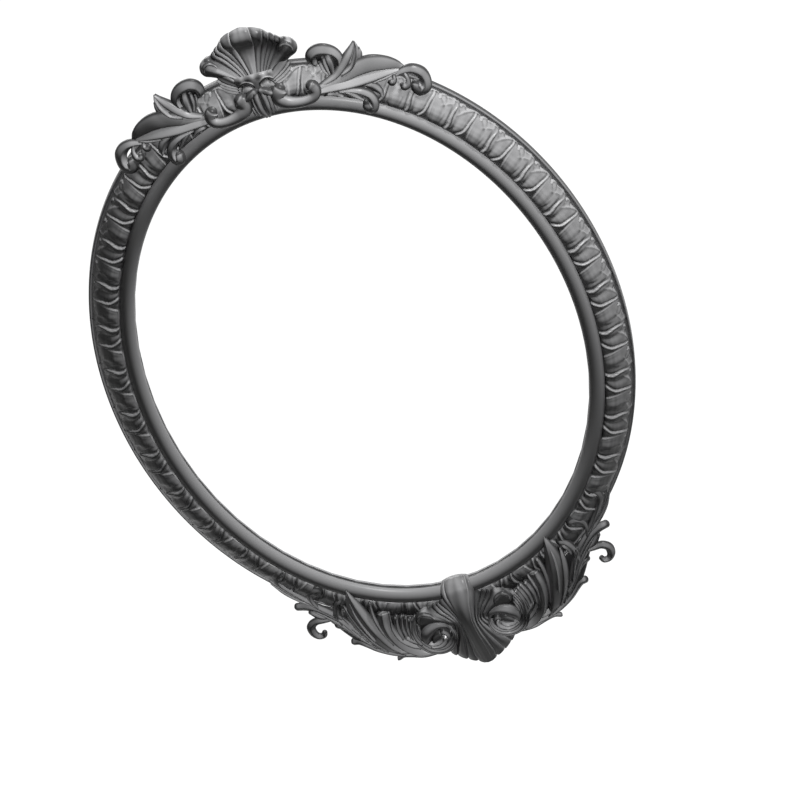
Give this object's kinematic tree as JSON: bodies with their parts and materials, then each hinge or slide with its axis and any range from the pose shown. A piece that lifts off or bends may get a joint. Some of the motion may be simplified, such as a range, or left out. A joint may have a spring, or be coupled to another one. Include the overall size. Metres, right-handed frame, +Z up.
{
  "type": "carved picture frame",
  "caption": "Oval carved wall frame with a round sight bead, leaf band, shell crest, leaf and volute base, rear rabbet, turn buttons and hanging rings.",
  "frame": {"origin": "middle of the top wall pad's back face, on the wall plane; the oval's centre lies 0.3275 m below it", "axes": "+X to the right seen from the front, +Y from the front towards the wall, +Z up"},
  "size_m": [0.5392, 0.0497, 0.8138],
  "materials": {
    "carved_paint": "satin dark grey paint over carved wood",
    "raw_wood": "unpainted sawn wood",
    "steel": "zinc plated",
    "felt": "black felt pad"
  },
  "bodies": {
    "frame": {"rim_segment_right": "raw_wood", "rim_segment_bottom": "raw_wood", "rim_segment_left": "raw_wood", "rim_segment_top": "raw_wood", "joint_tongue_1": "raw_wood", "joint_tongue_2": "raw_wood", "joint_tongue_3": "raw_wood", "joint_tongue_4": "raw_wood", "sight_bead_right": "carved_paint", "leaf_band_right": "carved_paint", "edge_lip_right": "carved_paint", "sight_bead_left": "carved_paint", "leaf_band_left": "carved_paint", "edge_lip_left": "carved_paint", "crest_knot": "carved_paint", "crest_stem": "carved_paint", "crest_shell": "carved_paint", "base_shell": "carved_paint", "crest_scroll_right": "carved_paint", "crest_scroll_left": "carved_paint", "crest_hook_right": "carved_paint", "crest_hook_left": "carved_paint", "crest_leaf_right": "carved_paint", "crest_leaf_left": "carved_paint", "crest_end_curl_right": "carved_paint", "crest_end_curl_left": "carved_paint", "crest_drop_curl_right": "carved_paint", "crest_drop_curl_left": "carved_paint", "base_volute_right": "carved_paint", "base_volute_left": "carved_paint", "base_big_leaf_right": "carved_paint", "base_big_leaf_left": "carved_paint", "base_spray_right": "carved_paint", "base_spray_left": "carved_paint", "base_hook_right": "carved_paint", "base_hook_left": "carved_paint", "band_curl_low_right": "carved_paint", "band_curl_low_left": "carved_paint", "band_curl_mid_right": "carved_paint", "band_curl_mid_left": "carved_paint", "band_curl_high_right": "carved_paint", "band_curl_high_left": "carved_paint", "hanger_strap_right": "steel", "hanger_screw_right": "steel", "hanger_strap_left": "steel", "hanger_screw_left": "steel", "wall_bumper_top": "felt", "wall_bumper_right": "felt", "wall_bumper_left": "felt", "button_screw_1": "steel", "button_screw_2": "steel", "button_screw_3": "steel", "button_screw_4": "steel"},
    "hanger_ring_right": {"hanger_ring_right": "steel"},
    "hanger_ring_left": {"hanger_ring_left": "steel"},
    "turn_button_1": {"turn_button_1": "steel"},
    "turn_button_2": {"turn_button_2": "steel"},
    "turn_button_3": {"turn_button_3": "steel"},
    "turn_button_4": {"turn_button_4": "steel"}
  },
  "joints": [
    {"name": "hanger_ring_right_swing", "type": "hinge", "parent": "frame", "child": "hanger_ring_right", "pos_m": [0.19791, -0.0026, -0.132], "axis": [1, 0, 0], "range_deg": [-178, 0]},
    {"name": "hanger_ring_left_swing", "type": "hinge", "parent": "frame", "child": "hanger_ring_left", "pos_m": [-0.19791, -0.0026, -0.132], "axis": [1, 0, 0], "range_deg": [-178, 0]},
    {"name": "turn_button_1_turn", "type": "hinge", "parent": "frame", "child": "turn_button_1", "pos_m": [0.14061, -0.005, -0.06303], "axis": [0, 1, 0], "continuous": true},
    {"name": "turn_button_2_turn", "type": "hinge", "parent": "frame", "child": "turn_button_2", "pos_m": [0.14061, -0.005, -0.59197], "axis": [0, 1, 0], "continuous": true},
    {"name": "turn_button_3_turn", "type": "hinge", "parent": "frame", "child": "turn_button_3", "pos_m": [-0.14061, -0.005, -0.59197], "axis": [0, 1, 0], "continuous": true},
    {"name": "turn_button_4_turn", "type": "hinge", "parent": "frame", "child": "turn_button_4", "pos_m": [-0.14061, -0.005, -0.06303], "axis": [0, 1, 0], "continuous": true}
  ]
}
